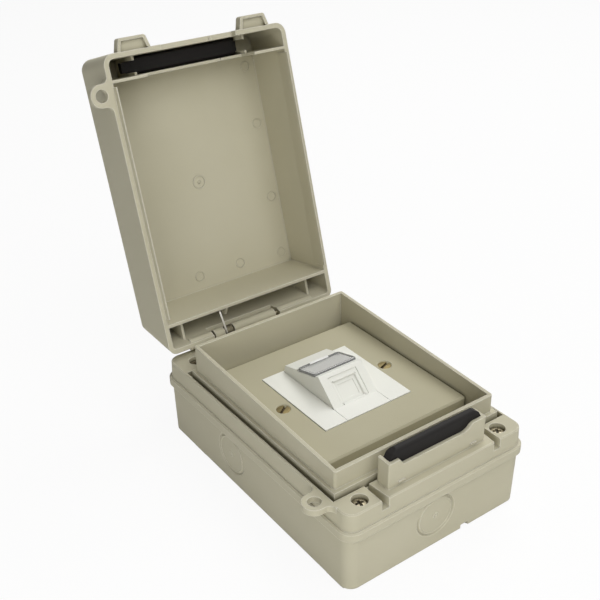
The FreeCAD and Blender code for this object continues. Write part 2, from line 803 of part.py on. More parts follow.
def data_module():
    """White outlet module: face, sloped nose with shutter opening, label seat and jack cradle."""
    half_y = MODULE_SIZE / 2 - 0.1
    skin = 1.3
    plate_bottom = MODULE_FACE - MODULE_SKIN
    plate = block(-NOSE_HALF, NOSE_HALF, -half_y, half_y, plate_bottom, MODULE_FACE)
    nose = across([NOSE_BACK_FOOT, NOSE_BACK_TOP, NOSE_APEX, NOSE_FOOT], -NOSE_HALF, NOSE_HALF)
    module = plate.fuse(nose)
    # Hollow nose, open to the back.
    inside_half = NOSE_HALF - 1.5
    hollow = [
        (NOSE_BACK_TOP[0] - 1.8, plate_bottom - 1),
        roof_point(0.06, 2.6),
        roof_point(0.97, 2.6),
        nose_point(NOSE_UP, skin),
        nose_point(-SHUTTER_CENTRE - 1.6, skin),
        (nose_point(-SHUTTER_CENTRE - 1.6, skin)[0], plate_bottom - 1),
    ]
    module = module.cut(across(hollow, -inside_half, inside_half))
    # Sunk frame, and in it the shutter opening with a bevelled edge.
    frame_x = 8.2
    frame_low = -5.7
    frame_high = 8.0
    frame_depth = 0.45
    module = module.cut(nose_block(-frame_x, frame_x, frame_low, frame_high, -1, frame_depth))
    open_x = 6.2
    open_u = 5.2
    bevel = 0.9
    module = module.cut(nose_block(-open_x, open_x, -open_u, open_u, -1, skin + 1))
    for side in (-1, 1):
        flank = side * open_x
        points = [(flank, 0.9), (flank + side * bevel, 0), (flank + side * bevel, -0.5), (flank, -0.5)]
        module = module.cut(slope_wedge_x(points, open_u + bevel))
        points = [
            (side * open_u, bevel),
            (side * (open_u + bevel), 0),
            (side * (open_u + bevel), -0.5),
            (side * open_u, -0.5),
        ]
        corners = [nose_point(u, depth) for u, depth in points]
        module = module.cut(across(corners, -open_x - bevel, open_x + bevel))
    # Way down behind the face for the shutter.
    slide_half = SHUTTER_HALF_X + 0.3
    module = module.cut(nose_block(-slide_half, slide_half, -17.0, NOSE_UP - 1.5, skin - 0.1, 2.7))
    # Seat for the label and its clear cover.
    module = module.cut(roof_block(-NOSE_HALF - 1, NOSE_HALF + 1, LABEL_BACK, LABEL_FRONT, -2, 1.0))
    # Side walls that hold the jack, and snap ridges behind the faceplate.
    for side in (-1, 1):
        ends = sorted((side * inside_half, side * NOSE_HALF))
        module = module.fuse(block(ends[0], ends[1], -19.0, 16.0, 30.0, plate_bottom + 0.5))
        ledge = sorted((side * 8.2, side * inside_half))
        module = module.fuse(nose_block(ledge[0], ledge[1] + 0.2, -10.6, -9.4, 3.0, 6.4))
        tongue = sorted((side * half_y, side * (half_y - 1.8)))
        module = module.fuse(block(-8.0, 8.0, tongue[0], tongue[1], TONGUE_BOTTOM, plate_bottom + 0.5))
    return module.removeSplitter()


def slope_wedge_x(points, half_u):
    """Wedge along the slope from (x, depth) points, used to bevel the sides of the shutter opening."""
    corners = []
    for x, depth in points:
        y, z = nose_point(-half_u, depth)
        corners.append(V(x, y, z))
    run = V(0, UP_SLOPE[0], UP_SLOPE[1]) * (2 * half_u)
    return Part.Face(Part.makePolygon(corners + corners[:1])).extrude(run)


def blank(side):
    """Half-width blank beside the outlet module, with a stiffening rib and snap tongues behind."""
    half_y = MODULE_SIZE / 2 - 0.1
    near = NOSE_HALF + 0.15
    far = MODULE_SIZE / 2 - 0.1
    ends = sorted((side * near, side * far))
    plate_bottom = MODULE_FACE - MODULE_SKIN
    plate = block(ends[0], ends[1], -half_y, half_y, plate_bottom, MODULE_FACE)
    rib = sorted((side * (near + 2), side * (near + 3.4)))
    plate = plate.fuse(block(rib[0], rib[1], -half_y, half_y, 36.5, plate_bottom))
    for end in (-1, 1):
        tongue = sorted((end * half_y, end * (half_y - 1.6)))
        plate = plate.fuse(block(ends[0] + 2, ends[1] - 2, tongue[0], tongue[1], TONGUE_BOTTOM, plate_bottom))
    return plate.removeSplitter()


def shutter():
    """Sliding plate with a sunk panel, and an arm that the return spring pushes on."""
    front = 1.4
    back = 2.5
    plate = nose_block(-SHUTTER_HALF_X, SHUTTER_HALF_X, -6.0, 6.0, front, back)
    panel = nose_block(-4.6, 4.6, -3.7, 3.7, front - 1, front + 0.35)
    plate = plate.cut(panel)
    arm = nose_block(JACK_HALF + 0.4, SPRING_X + 1.3, 4.6, 5.8, back - 0.8, 6.2)
    arm_root = nose_block(SHUTTER_HALF_X - 1, SPRING_X + 1.3, 4.6, 5.8, front + 0.2, back)
    return plate.fuse(arm).fuse(arm_root).removeSplitter()


def coil(radius, wire_radius, pitch, turns):
    """Square-section wire coil along +Z from the origin, in flat facets."""
    steps = 6
    sides = 4
    sections = []
    for step in range(turns * steps + 1):
        angle = 2 * math.pi * step / steps
        outward = V(math.cos(angle), math.sin(angle), 0)
        centre = outward * radius + V(0, 0, pitch * step / steps)
        corners = []
        for side in range(sides):
            turn = 2 * math.pi * side / sides
            offset = outward * (wire_radius * math.cos(turn)) + V(0, 0, wire_radius * math.sin(turn))
            corners.append(centre + offset)
        sections.append(corners)
    loops = [sections[0], sections[-1]]
    for here, there in zip(sections[:-1], sections[1:]):
        for side in range(sides):
            following = (side + 1) % sides
            loops.append([here[side], here[following], there[following]])
            loops.append([here[side], there[following], there[side]])
    return faceted(loops)


def shutter_spring():
    """Small coil that pushes the shutter shut, up the slope."""
    wire_radius = 0.22
    low_u = -9.3
    high_u = 4.5
    turns = 7
    coil_radius = 1.05
    pitch = (high_u - low_u - 2 * wire_radius) / turns
    spring = coil(coil_radius, wire_radius, pitch, turns)
    angle = math.degrees(math.atan2(UP_SLOPE[0], UP_SLOPE[1]))
    spring.rotate(V(0, 0, 0), V(1, 0, 0), -angle)
    y, z = nose_point(low_u + wire_radius, SPRING_DEPTH)
    spring.translate(V(SPRING_X, y, z))
    return spring


def label_window():
    """Clear cover over the label, standing a little proud of the roof."""
    window = roof_block(-NOSE_HALF, NOSE_HALF, LABEL_BACK + 0.005, LABEL_FRONT - 0.005, -0.9, 0.5)
    return window


def label_card():
    """Card under the clear cover."""
    return roof_block(-NOSE_HALF + 0.6, NOSE_HALF - 0.6, LABEL_BACK + 0.02, LABEL_FRONT - 0.02, 0.55, 0.95)


def jack_housing():
    """Body of the eight-way socket, set square to the sloped face, with its keyed mouth."""
    body = nose_block(-JACK_HALF, JACK_HALF, -6.6, 6.6, JACK_FRONT, JACK_BACK)
    mouth = nose_block(-5.9, 5.9, -2.4, 4.6, JACK_FRONT - 1, JACK_FRONT + 13.5)
    key = nose_block(-3.1, 3.1, -4.2, -2.0, JACK_FRONT - 1, JACK_FRONT + 9.0)
    latch = nose_block(-1.7, 1.7, -5.4, -4.0, JACK_FRONT - 1, JACK_FRONT + 8.0)
    body = body.cut(mouth).cut(key).cut(latch)
    return body.removeSplitter()


def contact_x(index):
    """Eight contacts side by side on the standard pitch."""
    return (index - 3.5) * 1.02


def jack_contacts():
    """Eight sprung wires that lean into the mouth from its upper wall."""
    half = 0.2
    contacts = []
    for index in range(8):
        x = contact_x(index)
        profile = [(4.58, 2.0), (4.58, 1.6), (2.0, 10.6), (2.0, 11.1), (2.35, 11.1), (4.58, 3.2)]
        corners = [nose_point(u, JACK_FRONT + depth) for u, depth in profile]
        contacts.append(across(corners, x - half, x + half))
    return Part.makeCompound(contacts)


def circuit_board():
    """Board across the back of the socket."""
    return nose_block(-9.0, 9.0, -9.0, 9.0, JACK_BACK, JACK_BACK + BOARD)


def wire_block():
    """Block of insulation-displacement slots on the back of the board."""
    front = JACK_BACK + BOARD
    body = nose_block(-8.6, 8.6, -7.0, 7.0, front, front + 8.5)
    # Two rows of four wire slots with a channel between the rows.
    body = body.cut(nose_block(-9.0, 9.0, -2.2, 2.2, front + 3.0, front + 9))
    for row in (-1, 1):
        for index in range(4):
            x = (index - 1.5) * 4.0
            ends = sorted((row * 2.0, row * 7.5))
            body = body.cut(nose_block(x - 0.6, x + 0.6, ends[0], ends[1], front + 3.0, front + 9))
    return body.removeSplitter()


def wire_contacts():
    """Eight forked blades, one across the floor of each wire slot."""
    front = JACK_BACK + BOARD
    blades = []
    for row in (-1, 1):
        for index in range(4):
            x = (index - 1.5) * 4.0
            ends = sorted((row * 4.6, row * 5.0))
            blade = nose_block(x - 0.55, x + 0.55, ends[0], ends[1], front + 3.0, front + 7.6)
            fork = nose_block(x - 0.15, x + 0.15, ends[0], ends[1], front + 4.6, front + 8)
            blades.append(blade.cut(fork))
    return Part.makeCompound(blades)


def lid_limits(inset, depth):
    """Limits of the lid at a depth from its rim, set in from the outside, with the draft of its walls."""
    share = depth / LID_DEPTH
    half = LID_HALF - LID_DRAFT * share - inset
    front = LID_FRONT + LID_DRAFT * share + inset
    back = LID_BACK - LID_END_SLANT * share - inset
    return (-half, half, front, back)


def lift_tab(middle):
    """Trapezoid tab on the lid's free end, with a shallow pocket in its face, and the pocket's cutter."""
    root = LID_FRONT + 1.5
    tip = LID_FRONT - 6.0
    wall = 1.4
    depth = 4.2
    pocket_depth = 1.8
    bottom = LID_RIM + 0.6
    shoulder = LID_FRONT - 0.5
    wide = [(-9.0, root), (9.0, root), (8.4, shoulder), (6.8, tip), (-6.8, tip), (-8.4, shoulder)]
    body = upright([(middle + x, y) for x, y in wide], bottom, bottom + depth)
    tips = [edge for edge in upright_edges(body) if edge.BoundBox.YMax < tip + 0.1]
    body = body.makeFillet(1.5, tips)
    inner = [(-7.0, LID_FRONT + 0.2), (7.0, LID_FRONT + 0.2), (5.6, tip + wall), (-5.6, tip + wall)]
    pocket = upright([(middle + x, y) for x, y in inner], bottom - 1, bottom + pocket_depth)
    return body, pocket


def lid():
    """Deep lid, modelled shut and then swung open."""
    top = LID_RIM + LID_DEPTH
    shell = frustum(lid_limits(0, 0), lid_limits(0, LID_DEPTH), LID_RIM, top, CORNER_RADIUS, LID_BACK_RADIUS)
    shell = shell.makeFillet(3.0, edges_at(shell, top))
    inner_depth = LID_DEPTH - LID_FLOOR
    ceiling = LID_RIM + inner_depth
    cavity = frustum(
        lid_limits(LID_WALL, 0),
        lid_limits(LID_WALL, inner_depth),
        LID_RIM,
        ceiling,
        CORNER_RADIUS - LID_WALL,
        LID_BACK_RADIUS - LID_WALL,
    )
    envelope = shell.fuse(block(-LID_HALF, LID_HALF, LID_FRONT, LID_BACK, LID_RIM - LIP_REACH, LID_RIM))
    body = shell.cut(cavity)
    inside = LID_HALF - LID_WALL

    # Thin-edged lips that drop into the seal groove along both sides, fading into the walls.
    lip_outer = LEDGE_HALF + GROOVE - LIP_GAP
    lip_inner = LEDGE_HALF + LIP_GAP
    lip_edge = 0.5
    lip_root = LID_RIM + 10.0
    lip_profile = [
        (lip_inner, LID_RIM),
        (lip_inner + 0.2, LID_RIM - LIP_REACH),
        (lip_inner + 0.2 + lip_edge, LID_RIM - LIP_REACH),
        (lip_outer, LID_RIM),
        (lip_outer, lip_root),
        (inside, lip_root),
    ]
    for side in (-1, 1):
        lip = along_y([(side * x, z) for x, z in lip_profile], LEDGE_FRONT, LEDGE_BACK)
        body = body.fuse(lip)

    # Partition behind the cable seal, set back in the middle to clear the pocket of the cover.
    near = PARTITION_Y - PARTITION / 2
    far = PARTITION_Y + PARTITION / 2
    recess = LID_RIM + PARTITION_RECESS
    recess_half = 30.0
    pip_half = 0.6
    pip_x = 18.0
    wall = block(-lip_outer, lip_outer, near, far, LID_RIM, ceiling + 1)
    wall = wall.cut(block(-recess_half, recess_half, near - 1, far + 1, LID_RIM - 1, recess))
    wall = wall.fuse(block(pip_x - pip_half, pip_x + pip_half, near, far, recess - 1.0, recess))
    body = body.fuse(wall.common(envelope))

    # Hinge compartment: leaning partition and two cross ribs.
    lean = -3.2
    near = HINGE_PARTITION_Y - 0.8
    far = HINGE_PARTITION_Y + 0.8
    partition = across(
        [(near, LID_RIM), (far, LID_RIM), (far + lean, ceiling + 1), (near + lean, ceiling + 1)],
        -inside - 0.5,
        inside + 0.5,
    )
    body = body.fuse(partition.common(envelope))
    rib_edge = LID_RIM + 5.5
    rib_x = 38.5
    rib_half = 0.6
    for x in (-rib_x, rib_x):
        rib_profile = [
            (far - 1, rib_edge),
            (LID_BACK - 2, rib_edge),
            (LID_BACK - 9, ceiling + 1),
            (far + lean, ceiling + 1),
        ]
        body = body.fuse(across(rib_profile, x - rib_half, x + rib_half).common(envelope))
    gusset = [(far - 0.8, LID_RIM + 0.5), (far + 5, LID_RIM + 5), (far - 1.5, LID_RIM + 12)]
    gusset_x = -13.5
    body = body.fuse(across(gusset, gusset_x - rib_half, gusset_x + rib_half))

    # Cradles and seat of the cable seal in the front channel.
    cradle_x = 31.0
    cradle_edge = LID_RIM + 10
    throat_front = SEAL_TIP_FRONT - 0.3
    throat_back = SEAL_TIP_BACK + 0.3
    throat_floor = LID_RIM + SEAL_FACE + 3.2
    for x in (-cradle_x, cradle_x):
        cradle = block(x - rib_half, x + rib_half, LID_FRONT + 1.5, PARTITION_Y, cradle_edge, ceiling + 1)
        throat = block(x - 1, x + 1, throat_front, throat_back, cradle_edge - 1, throat_floor)
        body = body.fuse(cradle.cut(throat).common(envelope))
    seat_half = 28.0
    seat_front = -66.6
    seat_back = -64.9
    body = body.fuse(block(-seat_half, seat_half, seat_front, seat_back, LID_RIM + SEAL_BACK, ceiling + 1))

    # Hinge end: room for the cover's knuckles, then the lid's own barrels.
    gap_left = LID_BARRELS[0][1]
    gap_right = LID_BARRELS[1][0]
    gap_front = 63.0
    gap_top = LID_RIM + 8.5
    body = body.cut(block(gap_left, gap_right, gap_front, LID_BACK + 5, LID_RIM - 1, gap_top))
    for x0, x1 in LID_BARRELS:
        body = body.fuse(rod(V(x0, HINGE_Y, HINGE_Z), V(x1, HINGE_Y, HINGE_Z), BARREL_RADIUS))
    body = body.cut(axle_bore())

    # Free end: low front edge for the cables, lift tabs and the padlock ear.
    cable_left = -20.2
    cable_right = 21.2
    cable_edge = LID_RIM + 4.0
    cut_back = LID_FRONT + LID_WALL + 0.8
    body = body.cut(block(cable_left, cable_right, LID_FRONT - 1, cut_back, LID_RIM - 1, cable_edge))
    front_pip_x = 8.5
    pip_ends = (front_pip_x - pip_half, front_pip_x + pip_half)
    pip_front = LID_FRONT + 0.9
    pip_back = LID_FRONT + LID_WALL + 0.2
    pip = block(pip_ends[0], pip_ends[1], pip_front, pip_back, cable_edge - 1.0, cable_edge + 0.5)
    body = body.fuse(pip)
    tab_places = [-33.5, 32.9]
    for middle in tab_places:
        tab, pocket = lift_tab(middle)
        body = body.fuse(tab.cut(cavity)).cut(pocket)
    body = body.fuse(ear_plate(-LID_HALF, LID_RIM))
    body = body.cut(post(EAR_X, EAR_Y, LID_RIM - 1, LID_RIM + EAR_THICKNESS + 1, EAR_HOLE_RADIUS))
    return swing_open(body.removeSplitter())


def lid_seal_bar():
    """Rubber block in the lid's front channel, with narrow ends; the left one passes its cradle."""
    face = LID_RIM + SEAL_FACE
    main_half = 29.8
    main_front = -70.6
    main_back = -62.5
    tip_left = -34.6
    tip_right = 30.2
    main = block(-main_half, main_half, main_front, main_back, face, LID_RIM + SEAL_BACK)
    main = main.makeFillet(1.4, edges_at(main, face))
    tips = block(tip_left, tip_right, SEAL_TIP_FRONT, SEAL_TIP_BACK, face + 0.2, face + 3.0)
    return swing_open(main.fuse(tips).removeSplitter())


def entry_seal_bar():
    """Rubber block in the cover's pocket, round-topped and falling away at both ends."""
    gap = 0.1
    left = ENTRY_X - POCKET_HALF + POCKET_WALL + gap
    right = ENTRY_X + POCKET_HALF - POCKET_WALL - gap
    back = POCKET_BACK - POCKET_WALL - gap
    front = POCKET_FRONT + POCKET_WALL + gap
    profile = [
        (left, POCKET_FLOOR),
        (right, POCKET_FLOOR),
        (right, SEAL_TOP - 4.0),
        (right - 1.4, SEAL_TOP - 1.6),
        (right - 4.0, SEAL_TOP),
        (left + 4.0, SEAL_TOP),
        (left + 1.4, SEAL_TOP - 1.6),
        (left, SEAL_TOP - 4.0),
    ]
    bar = along_y(profile, front, back)
    long_edges = [edge for edge in edges_at(bar, SEAL_TOP) if edge.BoundBox.XLength > 10]
    return bar.makeFillet(1.6, long_edges)


def hinge_pin():
    return rod(V(-PIN_HALF_LENGTH, HINGE_Y, HINGE_Z), V(PIN_HALF_LENGTH, HINGE_Y, HINGE_Z), PIN_RADIUS)


def lid_spring():
    """Torsion spring on the pin: one leg behind the lid's partition, the other along the cover."""
    wire_radius = 0.45
    coil_radius = 2.4
    coil_left = -16.6
    turns = 4
    pitch = 0.95
    spring = coil(coil_radius, wire_radius, pitch, turns)
    spring.rotate(V(0, 0, 0), V(0, 1, 0), 90)
    spring.translate(V(coil_left, HINGE_Y, HINGE_Z))
    coil_right = coil_left + turns * pitch
    bottom = HINGE_Z - coil_radius
    cover_leg_end = V(coil_right, HINGE_Y - 8, bottom - 0.6)
    lid_leg_end = V(coil_left - 1.6, HINGE_PARTITION_Y + 1.6, bottom + 0.2)
    past = 0.3
    leg_half = 0.4
    cover_leg = square_bar(V(coil_right, HINGE_Y + past, bottom), cover_leg_end, leg_half)
    lid_leg = square_bar(V(coil_left, HINGE_Y + past, bottom), lid_leg_end, leg_half)
    swing_open(lid_leg)
    return spring.fuse(cover_leg).fuse(lid_leg)


PIECES = {
    "back_box": back_box,
    "box_gasket": box_gasket,
    "cover_frame": cover_frame,
    "rim_seal": rim_seal,
    "cover_screws": cover_screws,
    "faceplate": faceplate,
    "faceplate_screws": faceplate_screws,
    "faceplate_inserts": faceplate_inserts,
    "data_module": data_module,
    "blank_left": lambda: blank(-1),
    "blank_right": lambda: blank(1),
    "shutter": shutter,
    "shutter_spring": shutter_spring,
    "label_window": label_window,
    "label_card": label_card,
    "jack_housing": jack_housing,
    "jack_contacts": jack_contacts,
    "circuit_board": circuit_board,
    "wire_block": wire_block,
    "wire_contacts": wire_contacts,
    "lid": lid,
    "lid_seal_bar": lid_seal_bar,
    "entry_seal_bar": entry_seal_bar,
    "hinge_pin": hinge_pin,
    "lid_spring": lid_spring,
}

os.makedirs("parts", exist_ok=True)
for node, make in PIECES.items():
    piece = make()
    solids = len(piece.Solids)
    print(node, "valid", piece.isValid(), "solids", solids, "volume", round(piece.Volume, 1))
    piece.exportStep("parts/" + node + ".step")
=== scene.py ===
import math

import bmesh
import bpy
from mathutils import Matrix, Vector


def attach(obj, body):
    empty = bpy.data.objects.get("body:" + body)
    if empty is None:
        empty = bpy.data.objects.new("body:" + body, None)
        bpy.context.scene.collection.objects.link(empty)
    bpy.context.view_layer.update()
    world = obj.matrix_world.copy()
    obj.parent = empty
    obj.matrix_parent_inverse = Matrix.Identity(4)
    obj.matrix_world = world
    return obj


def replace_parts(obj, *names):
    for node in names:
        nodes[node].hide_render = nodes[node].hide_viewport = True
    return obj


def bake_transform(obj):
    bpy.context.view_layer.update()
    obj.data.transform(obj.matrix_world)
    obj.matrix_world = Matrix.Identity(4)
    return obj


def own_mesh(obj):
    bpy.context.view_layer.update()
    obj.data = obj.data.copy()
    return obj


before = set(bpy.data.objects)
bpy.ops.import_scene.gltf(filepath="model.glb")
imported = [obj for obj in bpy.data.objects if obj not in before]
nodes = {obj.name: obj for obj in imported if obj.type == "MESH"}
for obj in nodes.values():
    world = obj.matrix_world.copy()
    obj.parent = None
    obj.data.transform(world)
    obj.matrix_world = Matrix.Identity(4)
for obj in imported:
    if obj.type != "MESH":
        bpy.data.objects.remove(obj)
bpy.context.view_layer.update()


# Back box: the half that is screwed to the wall, injection moulded in beige-grey ABS.
# A cable knock-out is ringed in each of its four walls, with a low bead inside the groove and
# a small dished mark in the middle where the drill starts.
MM = 0.001


def linear(code):
    """Linear colour of an sRGB hex value."""
    shares = [int(code[start:start + 2], 16) / 255 for start in (1, 3, 5)]
    return tuple(s / 12.92 if s <= 0.04045 else ((s + 0.055) / 1.055) ** 2.4 for s in shares) + (1.0,)


def add(material, kind, values):
    """Add a shader node. A value that is a socket is linked, any other sets an input or a property."""
    node = material.node_tree.nodes.new("ShaderNode" + kind)
    for name, value in values.items():
        if not isinstance(name, int) and name not in node.inputs:
            setattr(node, name, value)
        elif isinstance(value, bpy.types.NodeSocket):
            material.node_tree.links.new(value, node.inputs[name])
        else:
            node.inputs[name].default_value = value
    return node


def new_finish(name):
    """Start a material with no nodes."""
    material = bpy.data.materials.new(name)
    material.use_nodes = True
    material.node_tree.nodes.clear()
    return material


def paint(piece, material):
    """Give a piece one material and smooth shading inside each of its faces."""
    piece.data.materials.clear()
    piece.data.materials.append(material)
    piece.data.polygons.foreach_set("use_smooth", [True] * len(piece.data.polygons))


# Moulded plastic: satin and slightly mottled over a few centimetres, with painted highlight
# that makes the edges paler and painted shade that darkens the corners and creases. The
# spark-eroded grain is about 0.1 mm on the real part and is drawn at 0.9 mm so that it shows.
def moulded(name, pale, deep, edge_highlight, corner_shade, roughness, rounding):
    """Mottled from pale to deep, with painted highlight on the edges and painted shade in the corners;
    rounding in millimetres.
    """
    mottle, grain_width, grain_depth, shade_reach = 40 * MM, 0.9 * MM, 0.1 * MM, 3 * MM
    material = new_finish(name)
    place = add(material, "TexCoord", {}).outputs["Object"]
    cloud = add(material, "TexNoise", {"Vector": place, "Scale": 1 / mottle, "Detail": 3.0})
    body = add(
        material,
        "Mix",
        {"data_type": "RGBA", "Factor": cloud.outputs["Fac"], 6: linear(pale), 7: linear(deep)},
    )
    soft = add(material, "Bevel", {"samples": 6, "Radius": rounding * MM})
    flat = add(material, "NewGeometry", {})
    level = add(
        material,
        "VectorMath",
        {"operation": "DOT_PRODUCT", 0: soft.outputs["Normal"], 1: flat.outputs["Normal"]},
    )
    # Painted highlight: where the rounded normal turns away from the flat one, the colour goes towards
    # the pale edge colour.
    highlight_share = add(
        material,
        "MapRange",
        {"Value": level.outputs["Value"], "From Min": 0.985, "From Max": 0.85, "To Max": 0.95},
    )
    highlighted = add(
        material,
        "Mix",
        {"data_type": "RGBA", "Factor": highlight_share.outputs["Result"], 6: body.outputs[2], 7: linear(edge_highlight)},
    )
    # Painted shade: ambient occlusion darkens corners and creases towards the dark corner colour.
    corner = add(material, "AmbientOcclusion", {"samples": 8, "Distance": shade_reach})
    unshaded = add(material, "MapRange", {"Value": corner.outputs["AO"], "From Min": 0.1, "From Max": 0.65})
    colour = add(
        material,
        "Mix",
        {"data_type": "RGBA", "Factor": unshaded.outputs["Result"], 6: linear(corner_shade), 7: highlighted.outputs[2]},
    )
    grain = add(material, "TexNoise", {"Vector": place, "Scale": 1 / grain_width, "Detail": 2.0})
    relief = add(
        material,
        "Bump",
        {
            "Height": grain.outputs["Fac"],
            "Strength": 0.22,
            "Distance": grain_depth,
            "Normal": soft.outputs["Normal"],
        },
    )
    gloss = add(
        material,
        "MapRange",
        {"Value": grain.outputs["Fac"], "To Min": roughness - 0.07, "To Max": roughness + 0.07},
    )
    skin = add(
        material,
        "BsdfPrincipled",
        {
            "Base Color": colour.outputs[2],
            "Roughness": gloss.outputs["Result"],
            "IOR": 1.54,
            "Specular IOR Level": 0.09,
            "Normal": relief.outputs["Normal"],
        },
    )
    add(material, "OutputMaterial", {"Surface": skin.outputs["BSDF"]})
    return material


# The third colour is the painted edge highlight and the fourth the painted shade in corners.
housing_abs = moulded("moulded_beige_grey_abs", "#C5C0AA", "#BBB69E", "#E6E2D5", "#7F7A61", 0.55, 0.65)
paint(nodes["back_box"], housing_abs)


def turn(form, profile, steps, stand, relief=None):
    """Turn (radius, height) points in millimetres round Z and stand the result where it belongs."""
    rings = []
    for radius, height in profile:
        ring = []
        for step in range(steps if radius else 1):
            angle = 2 * math.pi * step / steps
            r, h = relief(radius, height, angle) if relief else (radius, height)
            spot = Vector((r * math.cos(angle), r * math.sin(angle), h))
            ring.append(form.verts.new(stand @ (spot * MM)))
        rings.append(ring)
    for low, high in zip(rings[:-1], rings[1:]):
        for step in range(steps):
            after = (step + 1) % steps
            corners = [low[step % len(low)], low[after % len(low)]]
            corners += [high[after % len(high)], high[step % len(high)]]
            form.faces.new(list(dict.fromkeys(corners)))


def made(name, form, material):
    """Make a piece from a finished form."""
    same_place, crease = 0.001 * MM, math.radians(40)
    bmesh.ops.remove_doubles(form, verts=form.verts, dist=same_place)
    bmesh.ops.recalc_face_normals(form, faces=form.faces)
    mesh = bpy.data.meshes.new(name)
    form.to_mesh(mesh)
    form.free()
    piece = bpy.data.objects.new(name, mesh)
    bpy.context.scene.collection.objects.link(piece)
    paint(piece, material)
    mesh.set_sharp_from_angle(angle=crease)
    return piece


def at(x, y, z):
    """Move to a place in millimetres."""
    return Matrix.Translation(Vector((x, y, z)) * MM)


knockout_height, knockout_side_y, knockout_end_x = 17.2, 15.5, -2.0
wall_x, wall_y, wall_draft, wall_rise = 49.84, 72.84, 0.4, 27.6
dimple = [(0, 0.02), (0.5, 0.04), (0.9, 0.2), (1.25, 0.28), (1.5, 0.2), (1.65, -0.1), (0, -0.1)]
bead = [(8.55, -0.1), (8.65, 0.1), (8.9, 0.24), (9.2, 0.24), (9.45, 0.1), (9.55, -0.1), (8.55, -0.1)]
lean = math.pi / 2 + math.atan(wall_draft / wall_rise)
marks = bmesh.new()
for stand in (
    at(wall_x, knockout_side_y, knockout_height) @ Matrix.Rotation(lean, 4, "Y"),
    at(-wall_x, knockout_side_y, knockout_height) @ Matrix.Rotation(-lean, 4, "Y"),
    at(knockout_end_x, -wall_y, knockout_height) @ Matrix.Rotation(lean, 4, "X"),
    at(knockout_end_x, wall_y, knockout_height) @ Matrix.Rotation(-lean, 4, "X"),
):
    turn(marks, dimple, 32, stand)
    turn(marks, bead, 96, stand)
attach(made("knockout_marks", marks, housing_abs), "base")


# Gasket: a loop of black rubber on the rim of the back box, squeezed by the cover's shelf.
# Moulded rubber is dull and nearly black, with closed pores and a little grey bloom; the
# pores are drawn at 0.8 mm, a few times their size.
bloom_patch, pore, pore_depth, rounding = 9 * MM, 0.8 * MM, 0.1 * MM, 0.6 * MM
black_rubber = new_finish("moulded_black_rubber")
place = add(black_rubber, "TexCoord", {}).outputs["Object"]
bloom = add(black_rubber, "TexNoise", {"Vector": place, "Scale": 1 / bloom_patch, "Detail": 4.0})
tone = add(
    black_rubber,
    "Mix",
    {"data_type": "RGBA", "Factor": bloom.outputs["Fac"], 6: linear("#110F0E"), 7: linear("#1C1917")},
)
pores = add(black_rubber, "TexVoronoi", {"Vector": place, "Scale": 1 / pore})
edge = add(black_rubber, "Bevel", {"samples": 6, "Radius": rounding})
relief = add(
    black_rubber,
    "Bump",
    {
        "Height": pores.outputs["Distance"],
        "Strength": 0.15,
        "Distance": pore_depth,
        "Normal": edge.outputs["Normal"],
    },
)
skin = add(
    black_rubber,
    "BsdfPrincipled",
    {
        "Base Color": tone.outputs[2],
        "Roughness": 0.65,
        "IOR": 1.52,
        "Specular IOR Level": 0.2,
        "Normal": relief.outputs["Normal"],
    },
)
add(black_rubber, "OutputMaterial", {"Surface": skin.outputs["BSDF"]})
paint(nodes["box_gasket"], black_rubber)


# Cover frame: the moulding that is screwed over the back box, with the collar round the
# outlet, the cable pocket in front and the hinge behind, in the same ABS.
paint(nodes["cover_frame"], housing_abs)


# Rim seal: a cord of pale grey silicone with a round top, laid in the groove of the cover
# for the lid's lip to press on. Silicone is soft to the eye; painted shade darkens it in the creases.
grey_silicone = moulded("extruded_grey_silicone", "#CBC7B4", "#C1BDA8", "#D3CFBE", "#A7A28C", 0.6, 0.3)
cord = bmesh.new()
half, front, back, bend = 47.65, -60.15, 54.85, 0.9
left_of_crown = [(-0.75, 36.2), (-0.75, 37.7), (-0.55, 38.3), (-0.2, 38.58)]
section = left_of_crown + [(-out, height) for out, height in reversed(left_of_crown)]
loops = []
for out, height in section:
    loop = []
    for x, y, start in ((half, front, -90), (half, back, 0), (-half, back, 90), (-half, front, 180)):
        for step in range(7):
            angle = math.radians(start + 15 * step)
            cx = x - math.copysign(bend, x) + (bend + out) * math.cos(angle)
            cy = y - math.copysign(bend, y) + (bend + out) * math.sin(angle)
            loop.append(cord.verts.new(Vector((cx, cy, height)) * MM))
    loops.append(loop)
for low, high in zip(loops, loops[1:] + loops[:1]):
    for step in range(len(low)):
        after = (step + 1) % len(low)
        cord.faces.new([low[step], low[after], high[after], high[step]])
rim_seal = made("rim_seal_cord", cord, grey_silicone)
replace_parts(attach(rim_seal, "base"), "rim_seal")


# Cover screws: four cross-head screws in the corner recesses, cold headed and thread rolled
# from steel, then zinc plated and yellow passivated. The plating is bright with dull patches.
def worn_metal(name, bright, dull, roughness):
    """Metal with bright and dull patches and slightly rounded edges."""
    patch, rounding = 1.5 * MM, 0.12 * MM
    material = new_finish(name)
    place = add(material, "TexCoord", {}).outputs["Object"]
    cloud = add(material, "TexNoise", {"Vector": place, "Scale": 1 / patch, "Detail": 4.0})
    tone = add(
        material,
        "Mix",
        {"data_type": "RGBA", "Factor": cloud.outputs["Fac"], 6: linear(bright), 7: linear(dull)},
    )
    gloss = add(
        material,
        "MapRange",
        {"Value": cloud.outputs["Fac"], "To Min": roughness - 0.08, "To Max": roughness + 0.1},
    )
    edge = add(material, "Bevel", {"samples": 4, "Radius": rounding})
    skin = add(
        material,
        "BsdfPrincipled",
        {
            "Base Color": tone.outputs[2],
            "Metallic": 1.0,
            "Roughness": gloss.outputs["Result"],
            "Normal": edge.outputs["Normal"],
        },
    )
    add(material, "OutputMaterial", {"Surface": skin.outputs["BSDF"]})
    return material


